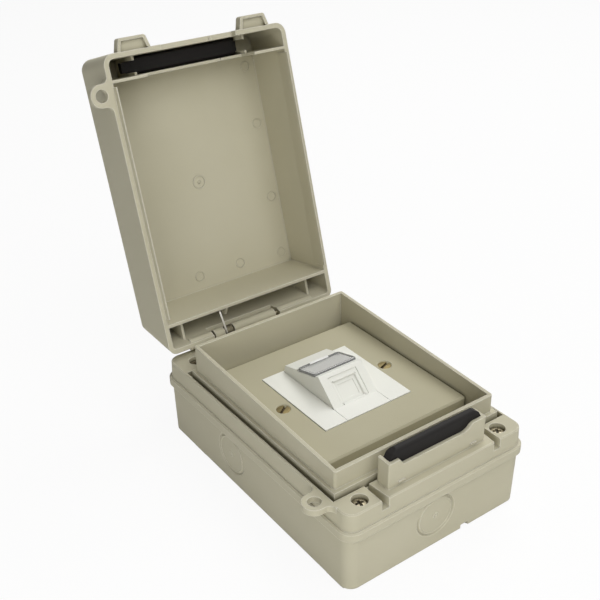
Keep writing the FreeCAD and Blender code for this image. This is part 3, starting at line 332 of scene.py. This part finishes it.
zinc_steel = worn_metal("yellow_zinc_plated_steel", "#A8A08A", "#746C56", 0.42)
# Painted shade: the floor of the cross drive gets a nearly black steel so that the recess reads dark.
drive_shade = worn_metal("drive_painted_shade_steel", "#47433A", "#302D27", 0.5)


def fade(value, full, none):
    """One up to full, falling smoothly to nought at none."""
    share = min(max((none - abs(value)) / (none - full), 0.0), 1.0)
    return share * share * (3 - 2 * share)


def thread(radius, height, angle, pitch, depth):
    """Radius of a rolled thread round a shank."""
    share = (height / pitch - angle / (2 * math.pi)) % 1.0
    return radius - depth * abs(2 * share - 1)


def cover_screw_relief(radius, height, angle):
    """Cross drive that grows shallower outwards, and a rolled thread below the head."""
    arm_width, arm_length, drive_depth, rise = (0.4, 0.62), (1.7, 2.1), 1.3, 0.25
    if height > -1.5:
        x, y = radius * math.cos(angle), radius * math.sin(angle)
        along_y = fade(x, *arm_width) * fade(y, *arm_length)
        along_x = fade(y, *arm_width) * fade(x, *arm_length)
        return radius, height - max(along_y, along_x) * (drive_depth - rise * radius)
    if height < -3.0 and radius > 1.2:
        return thread(radius, height, angle, pitch=1.4, depth=0.4), height
    return radius, height


crown = [(3.1 * k / 30, -0.45 * (k / 30) ** 2) for k in range(31)]
head = crown + [(3.25, -0.62), (3.3, -0.9), (3.3, -1.6), (3.3, -2.3)]
shank = [(1.78, -2.35)] + [(1.78, -3.0 - 0.2 * k) for k in range(103)] + [(1.1, -24.6), (0.0, -26.6)]
screw_x, screw_front, screw_back, head_top = 39.3, -66.4, 62.5, 39.5
screws = bmesh.new()
for x in (-screw_x, screw_x):
    for y in (screw_front, screw_back):
        twist = Matrix.Rotation(math.radians(x * 3.1 + y), 4, "Z")
        turn(screws, head + shank, 96, at(x, y, head_top) @ twist, cover_screw_relief)
cover_screws = made("cover_screw_set", screws, zinc_steel)
cover_screws.data.materials.append(drive_shade)
drive_low, drive_high = 38.0 * MM, 38.75 * MM
# Faces on the floor of the cross drive take the painted shade.
for face in cover_screws.data.polygons:
    in_drive = drive_low < face.center.z < drive_high and face.normal.z > 0.2
    face.material_index = 1 if in_drive else 0
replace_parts(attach(cover_screws, "base"), "cover_screws")


# Faceplate: a single-gang plate of ABS held down on the deck. Its beige is a darker copy
# of the housing's, as painted shade.
plate_shaded_abs = moulded("moulded_shaded_beige_abs", "#B6B198", "#AEA88E", "#CCC8B3", "#787359", 0.5, 0.4)
paint(nodes["faceplate"], plate_shaded_abs)


# Faceplate fixings: two slotted countersunk screws of turned brass and the six-sided
# brass bushes under the deck that they go into. The slots are cut and their floors are
# painted dark as painted shade. Turned brass that has dulled to brown.
turned_brass = worn_metal("turned_brass", "#877A56", "#4C432C", 0.4)
slot_shade = worn_metal("slot_painted_shade_brass", "#4A4030", "#332B20", 0.5)
paint(nodes["faceplate_inserts"], turned_brass)


def plate_screw_relief(radius, height, angle):
    """Slot cut right across the head, and a fine thread below it."""
    slot_width, slot_depth = (0.5, 0.6), 0.75
    if height > -0.5:
        across = radius * math.sin(angle)
        return radius, height - slot_depth * fade(across, *slot_width)
    if height < -2.4 and radius > 1.0:
        return thread(radius, height, angle, pitch=0.6, depth=0.25), height
    return radius, height


crown = [(3.2 * k / 36, -0.12 * (k / 36) ** 2) for k in range(37)]
head = crown + [(3.3, -0.2), (3.3, -0.8), (1.7, -1.6)]
shank = [(1.58, -2.3)] + [(1.58, -2.4 - 0.1 * k) for k in range(156)] + [(1.2, -18.3), (0.0, -18.7)]
screw_x, head_top = 30.15, 43.2
screws = bmesh.new()
for x, turned_by in ((-screw_x, 35), (screw_x, 20)):
    stand = at(x, 0, head_top) @ Matrix.Rotation(math.radians(turned_by), 4, "Z")
    turn(screws, head + shank, 96, stand, plate_screw_relief)
plate_screws = made("faceplate_screw_set", screws, turned_brass)
plate_screws.data.materials.append(slot_shade)
slot_low, slot_high = 41.9 * MM, 42.85 * MM
# Faces on the slot floors take the painted shade.
for face in plate_screws.data.polygons:
    in_slot = slot_low < face.center.z < slot_high and face.normal.z > 0.2
    face.material_index = 1 if in_slot else 0
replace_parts(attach(plate_screws, "base"), "faceplate_screws")


# Socket: a dark nylon body with eight gold-plated contact wires, soldered to a small
# lacquered board. The ivory block behind the board cuts into the installation cable's wires.
# Gold plate is bright and yellow, tin pale grey; both nylons have a soft shine.
gold_plate = worn_metal("gold_plated_bronze", "#E3C069", "#D0A94E", 0.2)
tinned_bronze = worn_metal("tinned_bronze", "#CFCDC6", "#B6B3AA", 0.3)
# In both nylons the third colour is the painted edge highlight and the fourth the painted corner shade.
dark_nylon = moulded("moulded_dark_nylon", "#2A2A2C", "#232325", "#3A3A3C", "#161617", 0.45, 0.2)
ivory_nylon = moulded("moulded_ivory_nylon", "#E2DCC8", "#D8D1BC", "#EAE5D6", "#A79F86", 0.45, 0.2)
paint(nodes["jack_housing"], dark_nylon)
paint(nodes["jack_contacts"], gold_plate)
paint(nodes["wire_block"], ivory_nylon)
paint(nodes["wire_contacts"], tinned_bronze)

# Lacquered laminate: deep green and smooth, the glass weave just showing through. A wave
# texture repeats every 0.314 at scale 1, and the weave's 0.6 mm is drawn at 1.2 mm to show.
wave_length, weave_width = 0.314, 1.2 * MM
board_laminate = new_finish("green_lacquered_laminate")
place = add(board_laminate, "TexCoord", {}).outputs["Object"]
weave = add(
    board_laminate,
    "TexWave",
    {"Vector": place, "Scale": wave_length / weave_width, "Distortion": 0.4},
)
tone = add(
    board_laminate,
    "Mix",
    {"data_type": "RGBA", "Factor": weave.outputs["Fac"], 6: linear("#1F5B37"), 7: linear("#27693F")},
)
skin = add(board_laminate, "BsdfPrincipled", {"Base Color": tone.outputs[2], "Roughness": 0.3})
add(board_laminate, "OutputMaterial", {"Surface": skin.outputs["BSDF"]})
paint(nodes["circuit_board"], board_laminate)

# The solder stands on the back of the board, which lies parallel to the sloped face of the nose.
up_slope = Vector((0, 0.7367, 0.6763))
inward = Vector((0, 0.6763, -0.7367))
shutter_middle_y, shutter_middle_z = -10.485, 48.228


def behind_slope(x, u, depth):
    """Place behind the sloped face, u up the slope from the middle of the shutter, in millimetres."""
    return Vector((x, shutter_middle_y, shutter_middle_z)) + up_slope * u + inward * depth


sideways = Vector((1, 0, 0))
square = Matrix((sideways, sideways.cross(up_slope), inward)).transposed().to_4x4()
solder = [(0.75, -0.05), (0.7, 0.1), (0.5, 0.35), (0.28, 0.75), (0.2, 1.0), (0.0, 1.05)]
row_from_middle, row_pitch, board_back = 8.0, 4.0, 21.4
joints = bmesh.new()
for u in (-row_from_middle, row_from_middle):
    for k in range(4):
        x = (k - 1.5) * row_pitch
        stand = Matrix.Translation(behind_slope(x, u, board_back) * MM)
        turn(joints, solder, 20, stand @ square)
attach(made("solder_joints", joints, tinned_bronze), "base")


# Outlet: the data module with its sloped nose, the blanks beside it and the sliding shutter,
# moulded in white polycarbonate, smoother and glossier than the housing.
# The third colour is the painted edge highlight and the fourth the painted corner shade.
white_polycarbonate = moulded(
    "moulded_white_polycarbonate", "#ECECE4", "#E5E5DC", "#F1F1EC", "#D3D2C8", 0.34, 0.3
)
for node in ("data_module", "blank_left", "blank_right", "shutter"):
    paint(nodes[node], white_polycarbonate)


# Shutter spring: a coil of bright spring wire beside the socket. It pushes the shutter up,
# and closes up towards its lower end as the shutter goes down. Drawn wire is pale, with a
# broad soft shine.
spring_wire = worn_metal("bright_spring_wire", "#F2F0EA", "#D9D6CE", 0.55)


def wire(form, path, radius, sides):
    """Round wire along a line of points in millimetres."""
    rings = []
    side = None
    for k, spot in enumerate(path):
        ahead = (path[min(k + 1, len(path) - 1)] - path[max(k - 1, 0)]).normalized()
        side = side or ahead.orthogonal()
        side = (side - ahead * side.dot(ahead)).normalized()
        other = ahead.cross(side)
        ring = []
        for step in range(sides):
            angle = 2 * math.pi * step / sides
            out = side * math.cos(angle) + other * math.sin(angle)
            ring.append(form.verts.new((spot + out * radius) * MM))
        rings.append(ring)
    for low, high in zip(rings[:-1], rings[1:]):
        for step in range(sides):
            after = (step + 1) % sides
            form.faces.new([low[step], low[after], high[after], high[step]])
    form.faces.new(rings[0])
    form.faces.new(rings[-1])


low_end, high_end, turns, per_turn = -9.08, 4.28, 7, 28
spring_x, spring_depth, coil_radius, wire_radius = 9.3, 4.6, 1.05, 0.22
path = []
for k in range(turns * per_turn + 1):
    angle = 2 * math.pi * k / per_turn
    u = low_end + (high_end - low_end) * k / (turns * per_turn)
    x = spring_x + coil_radius * math.cos(angle)
    path.append(behind_slope(x, u, spring_depth + coil_radius * math.sin(angle)))
coil = bmesh.new()
wire(coil, path, wire_radius, 10)
shutter_spring = made("shutter_spring_coil", coil, spring_wire)
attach(shutter_spring, "base")
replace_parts(shutter_spring, "shutter_spring")
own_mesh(shutter_spring)


# Label: a card lying in the roof of the nose under a clear acrylic cover, which is moulded
# with round corners and snaps in a little proud. Its side faces are painted dark grey as painted shade,
# its face is glossy.
# Card is matt and off-white; its fibre is drawn at 0.5 mm so that it shows.
fibre_width = 0.5 * MM
label_card = new_finish("white_label_card")
place = add(label_card, "TexCoord", {}).outputs["Object"]
fibre = add(label_card, "TexNoise", {"Vector": place, "Scale": 1 / fibre_width, "Detail": 4.0})
tone = add(
    label_card,
    "Mix",
    {"data_type": "RGBA", "Factor": fibre.outputs["Fac"], 6: linear("#D9D9D6"), 7: linear("#CFCFCC")},
)
skin = add(label_card, "BsdfPrincipled", {"Base Color": tone.outputs[2], "Roughness": 0.85})
add(label_card, "OutputMaterial", {"Surface": skin.outputs["BSDF"]})
paint(nodes["label_card"], label_card)


def clear(name, colour, alpha):
    """Clear acrylic, with faint haze from handling."""
    haze_patch, rounding = 6 * MM, 0.25 * MM
    material = new_finish(name)
    place = add(material, "TexCoord", {}).outputs["Object"]
    haze = add(material, "TexNoise", {"Vector": place, "Scale": 1 / haze_patch, "Detail": 2.0})
    dull = add(material, "MapRange", {"Value": haze.outputs["Fac"], "To Min": 0.04, "To Max": 0.14})
    edge = add(material, "Bevel", {"samples": 4, "Radius": rounding})
    skin = add(
        material,
        "BsdfPrincipled",
        {
            "Base Color": linear(colour),
            "Roughness": dull.outputs["Result"],
            "IOR": 1.49,
            "Alpha": alpha,
            "Normal": edge.outputs["Normal"],
        },
    )
    add(material, "OutputMaterial", {"Surface": skin.outputs["BSDF"]})
    return material


clear_acrylic = clear("clear_acrylic", "#E6E6E3", 0.3)
acrylic_edge_shade = clear("clear_acrylic_painted_edge_shade", "#5F6160", 0.8)
roof_back = Vector((0, 23.4, 47.6))
forward = Vector((0, -0.9619, 0.2733))
outward = Vector((0, 0.2733, 0.9619))


def pressing(form, middle, half_x, half_v, bend, levels):
    """Piece with round corners on the roof of the nose, rising through (inset, height) levels."""
    rings = []
    for inset, height in levels:
        ring = []
        round_to = max(bend - inset, 0.1)
        for side_x, side_v, start in ((1, -1, -90), (1, 1, 0), (-1, 1, 90), (-1, -1, 180)):
            for step in range(7):
                angle = math.radians(start + 15 * step)
                x = side_x * (half_x - inset - round_to) + round_to * math.cos(angle)
                v = side_v * (half_v - inset - round_to) + round_to * math.sin(angle)
                spot = roof_back + forward * (middle + v) + outward * height + Vector((x, 0, 0))
                ring.append(form.verts.new(spot * MM))
        rings.append(ring)
    for low, high in zip(rings[:-1], rings[1:]):
        for step in range(len(low)):
            after = (step + 1) % len(low)
            form.faces.new([low[step], low[after], high[after], high[step]])
    form.faces.new(rings[0])
    form.faces.new(rings[-1])


cover = bmesh.new()
raised_rim = [(0.0, -0.5), (0.0, 0.5), (0.12, 0.75), (0.4, 0.9), (1.0, 0.9), (1.15, 0.6)]
pressing(cover, middle=17.55, half_x=12.4, half_v=7.45, bend=2.0, levels=raised_rim)
label_window = made("label_window_cover", cover, clear_acrylic)
label_window.data.materials.append(acrylic_edge_shade)
# Faces that stand across the roof take the painted dark edge shade.
for face in label_window.data.polygons:
    face.material_index = 1 if abs(face.normal.dot(outward)) < 0.5 else 0
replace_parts(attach(label_window, "base"), "label_window")

# The lip that a fingernail lifts the cover by is matt, and its white is a painted highlight along the
# back edge of the cover.
lip_highlight_acrylic = moulded("lip_highlight_acrylic", "#F2F2EF", "#E9E9E5", "#F6F6F4", "#CFCFCA", 0.4, 0.2)
lip = bmesh.new()
rounded_top = [(0.0, 0.5), (0.0, 1.0), (0.12, 1.2), (0.35, 1.3)]
pressing(lip, middle=10.95, half_x=5.5, half_v=0.6, bend=0.55, levels=rounded_top)
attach(made("label_window_lip", lip, lip_highlight_acrylic), "base")


# Lid: the deep moulded cover on the hinge, in the same ABS. Its inner face carries the ring
# of the injection gate and the faint rings that the ejector pins left.
paint(nodes["lid"], housing_abs)
hinge = Vector((0, 71.5, 45.0))
open_angle = math.radians(-106)
to_hinge = Matrix.Translation(hinge * MM)
swing_open = to_hinge @ Matrix.Rotation(open_angle, 4, "X") @ to_hinge.inverted()
ejector_ring = [(2.4, -0.02), (2.42, 0.3), (2.62, 0.3), (2.64, -0.02), (2.4, -0.02)]
gate_ring = [(3.1, -0.02), (3.14, 0.5), (3.5, 0.5), (3.54, -0.02), (3.1, -0.02)]
gate_stub = [(0.0, 0.55), (0.7, 0.5), (1.0, 0.3), (1.1, -0.02), (0.0, -0.02)]
ejector_places = [
    (40.8, -55.0),
    (41.6, -24.5),
    (42.0, 16.0),
    (41.6, 48.0),
    (14.5, 46.5),
    (-11.0, 46.5),
    (-41.6, -24.5),
    (-42.0, 16.0),
]
lid_ceiling, gate_y = 71.2, -2.3
face_down = Matrix.Rotation(math.pi, 4, "X")
rings = bmesh.new()
for x, y in ejector_places:
    turn(rings, ejector_ring, 40, swing_open @ at(x, y, lid_ceiling) @ face_down)
gate = swing_open @ at(0, gate_y, lid_ceiling) @ face_down
turn(rings, gate_ring, 48, gate)
turn(rings, gate_stub, 24, gate)
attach(made("lid_mould_marks", rings, housing_abs), "lid")


# Cable seals: two blocks of black rubber, one in the lid's channel and one in the pocket of
# the cover. They press together round the cables when the lid is shut.
paint(nodes["lid_seal_bar"], black_rubber)
paint(nodes["entry_seal_bar"], black_rubber)


# Hinge: a zinc-plated pin through the knuckles, with a torsion spring of bright wire round it.
# One leg lies on the cover and the other on the lid, so the coil winds as the lid shuts.
paint(nodes["hinge_pin"], zinc_steel)
# Coil wire: painted shade makes the coil dull and darker than the legs.
coil_shade_wire = worn_metal("coil_painted_shade_wire", "#8A8471", "#5E5948", 0.6)
coil_left, coil_right, coil_radius, wire_radius = -16.6, -12.8, 2.4, 0.5
lid_leg_tip, cover_leg_tip = Vector((-18.2, 59.5, 42.8)), Vector((coil_right, 63.5, 42.0))
first, last, steps = open_angle, 8 * math.pi, 140
path = [swing_open @ (lid_leg_tip * MM) / MM]
for k in range(steps + 1):
    share = k / steps
    angle = first + (last - first) * share
    x = coil_left + (coil_right - coil_left) * share
    y = hinge.y + coil_radius * math.sin(angle)
    z = hinge.z - coil_radius * math.cos(angle)
    path.append(Vector((x, y, z)))
path.append(cover_leg_tip)
coil = bmesh.new()
wire(coil, path, wire_radius, 12)
lid_spring = made("lid_spring_coil", coil, spring_wire)
lid_spring.data.materials.append(coil_shade_wire)
coil_reach = 3.2 * MM
# Faces close to the hinge axis, on the coil, take the painted shade.
for face in lid_spring.data.polygons:
    from_axis = (face.center - hinge * MM) * Vector((0, 1, 1))
    face.material_index = 1 if from_axis.length < coil_reach else 0
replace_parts(lid_spring, "lid_spring")
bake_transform(lid_spring)


# Studio: a pale floor that keeps a soft shadow, a white surround and large soft lamps, most
# of the light coming from above in front and from above behind.
floor_mesh = bpy.data.meshes.new("floor")
reach = 6.0
corners = [(-reach, -reach, 0), (reach, -reach, 0), (reach, reach, 0), (-reach, reach, 0)]
floor_mesh.from_pydata(corners, [], [(0, 1, 2, 3)])
floor = bpy.data.objects.new("floor", floor_mesh)
bpy.context.scene.collection.objects.link(floor)


def shown_white(backdrop, plain, share):
    """Let the camera, reflections and clear pieces see a share of white in the plain backdrop."""
    seen = add(backdrop, "LightPath", {}).outputs
    direct, mirrored, through = seen["Is Camera Ray"], seen["Is Glossy Ray"], seen["Is Transmission Ray"]
    either = add(backdrop, "Math", {"operation": "MAXIMUM", 0: direct, 1: mirrored})
    any_of = add(backdrop, "Math", {"operation": "MAXIMUM", 0: either.outputs[0], 1: through})
    part = add(backdrop, "Math", {"operation": "MULTIPLY", 0: any_of.outputs[0], 1: share})
    kind = "Background" if isinstance(backdrop, bpy.types.World) else "Emission"
    white = add(backdrop, kind, {"Color": linear("#FFFFFF"), "Strength": 1.0})
    mix = add(backdrop, "MixShader", {0: part.outputs[0], 1: plain.outputs[0], 2: white.outputs[0]})
    return mix.outputs[0]


# Studio paper: matt and nearly white, so that only a faint shadow stays under the box.
paper = new_finish("pale_studio_paper")
matt = add(paper, "BsdfDiffuse", {"Color": linear("#F1F1EF")})
add(paper, "OutputMaterial", {"Surface": shown_white(paper, matt, 0.92)})
floor.data.materials.append(paper)

world = bpy.data.worlds.new("white_surround")
bpy.context.scene.world = world
world.use_nodes = True
world.node_tree.nodes.clear()
sky = add(world, "Background", {"Color": linear("#FFFFFF"), "Strength": 0.05})
add(world, "OutputWorld", {"Surface": shown_white(world, sky, 0.93)})

lamps_aim = Vector((0.0, 0.02, 0.06))
for name, spot, size, power in (
    ("front_softbox", (0.0, -0.75, 1.0), 1.1, 9.4),
    ("top_softbox", (0.45, -0.1, 1.25), 0.9, 1.8),
    ("left_softbox", (-0.75, -0.95, 0.8), 0.8, 0.6),
    ("low_left_softbox", (-0.4, -0.3, 0.1), 0.25, 0.75),
    ("back_softbox", (0.7, 0.45, 1.1), 0.8, 8.5),
):
    lamp = bpy.data.lights.new(name, "AREA")
    lamp.size = size
    lamp.energy = power
    holder = bpy.data.objects.new(name, lamp)
    holder.location = spot
    aim = lamps_aim - Vector(spot)
    holder.rotation_euler = aim.to_track_quat("-Z", "Y").to_euler()
    bpy.context.scene.collection.objects.link(holder)


# Camera, from the photograph: turned to the left of the box, looking down on it. Its values
# were solved from the edges of the box and the outlet's standard size.
TURN = math.radians(-35.47)
HEIGHT = math.radians(29.49)
ROLL = math.radians(-1.03)
DISTANCE = 451.36 * MM
SHIFT_RIGHT = 16.76 * MM
SHIFT_UP = -40.51 * MM
AIM = Vector((0, 0, 43.5 * MM))
FOCAL_PIXELS = 957.67
IMAGE_PIXELS = 600
level_share = math.cos(HEIGHT)
back = Vector((math.sin(TURN) * level_share, -math.cos(TURN) * level_share, math.sin(HEIGHT)))
level = Vector((math.cos(TURN), math.sin(TURN), 0))
upright = back.cross(level)
right = level * math.cos(ROLL) + upright * math.sin(ROLL)
up = upright * math.cos(ROLL) - level * math.sin(ROLL)
lens = bpy.data.cameras.new("photo_camera")
lens.sensor_width = 36.0
lens.lens = FOCAL_PIXELS / IMAGE_PIXELS * lens.sensor_width
camera = bpy.data.objects.new("photo_camera", lens)
turned_to = Matrix((right, up, back)).transposed()
spot = AIM + back * DISTANCE - right * SHIFT_RIGHT - up * SHIFT_UP
camera.matrix_world = Matrix.Translation(spot) @ turned_to.to_4x4()
lens.clip_start = 0.01
bpy.context.scene.collection.objects.link(camera)
bpy.context.scene.camera = camera
bpy.context.scene.view_settings.view_transform = "Standard"
